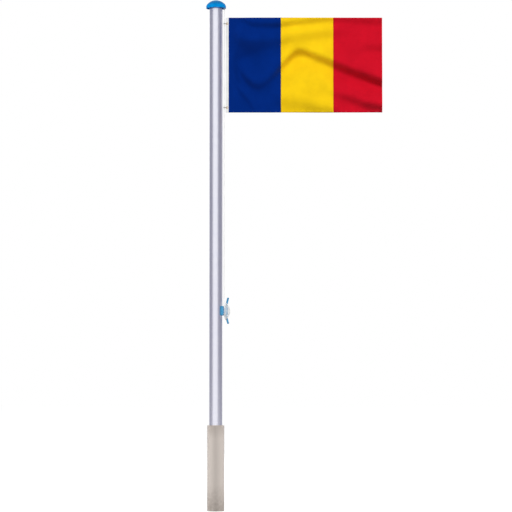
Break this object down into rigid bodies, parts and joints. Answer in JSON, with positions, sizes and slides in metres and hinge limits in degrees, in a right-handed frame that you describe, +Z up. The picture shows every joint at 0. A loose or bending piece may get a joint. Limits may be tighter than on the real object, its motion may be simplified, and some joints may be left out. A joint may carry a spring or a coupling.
{
  "type": "flagpole with ground sleeve",
  "caption": "Straight metal flagpole in a ground sleeve, with a domed cap, an outside halyard made fast on a horn cleat, and a vertical tricolour flag on snap hooks.",
  "frame": {"origin": "middle of the ground sleeve's flat foot, at the pole's axis", "axes": "+Z up along the pole, +X from the pole towards the flag's fly edge, -Y towards the viewer of the picture"},
  "size_m": [1.6618, 0.188, 4.806],
  "materials": {
    "sleeve_pvc": "satin",
    "pole_aluminium": "satin",
    "blue_plastic": "gloss",
    "white_plastic": "satin",
    "white_rope": "matte",
    "hook_steel": "satin",
    "grommet_brass": "satin",
    "white_cloth": "matte",
    "blue_cloth": "satin",
    "yellow_cloth": "satin",
    "red_cloth": "satin"
  },
  "bodies": {
    "pole": {"ground_sleeve": "sleeve_pvc", "sleeve_collar": "sleeve_pvc", "pole_section_1": "pole_aluminium", "pole_section_2": "pole_aluminium", "pole_section_3": "pole_aluminium", "pole_section_4": "pole_aluminium", "top_cap": "blue_plastic", "halyard_sheave": "white_plastic", "sheave_pin": "hook_steel", "halyard": "white_rope", "halyard_turns": "white_rope", "cleat": "blue_plastic"},
    "halyard_bindings": {"upper_bindings": "white_rope", "lower_bindings": "white_rope"},
    "flag": {"upper_hook": "hook_steel", "upper_hook_gate": "hook_steel", "lower_hook": "hook_steel", "lower_hook_gate": "hook_steel", "upper_grommet": "grommet_brass", "lower_grommet": "grommet_brass", "flag_heading": "white_cloth", "flag_blue_panel": "blue_cloth", "flag_yellow_panel": "yellow_cloth", "flag_red_panel": "red_cloth"}
  },
  "joints": [
    {"name": "flag_hoist", "type": "slide", "parent": "pole", "child": "halyard_bindings", "axis": [0, 0, 1], "range_m": [-1.7, 0.07]},
    {"name": "flag_swing", "type": "hinge", "parent": "halyard_bindings", "child": "flag", "pos_m": [0.078, -0.013, 4.182], "axis": [0, 0, 1], "range_deg": [-80, 50]}
  ]
}
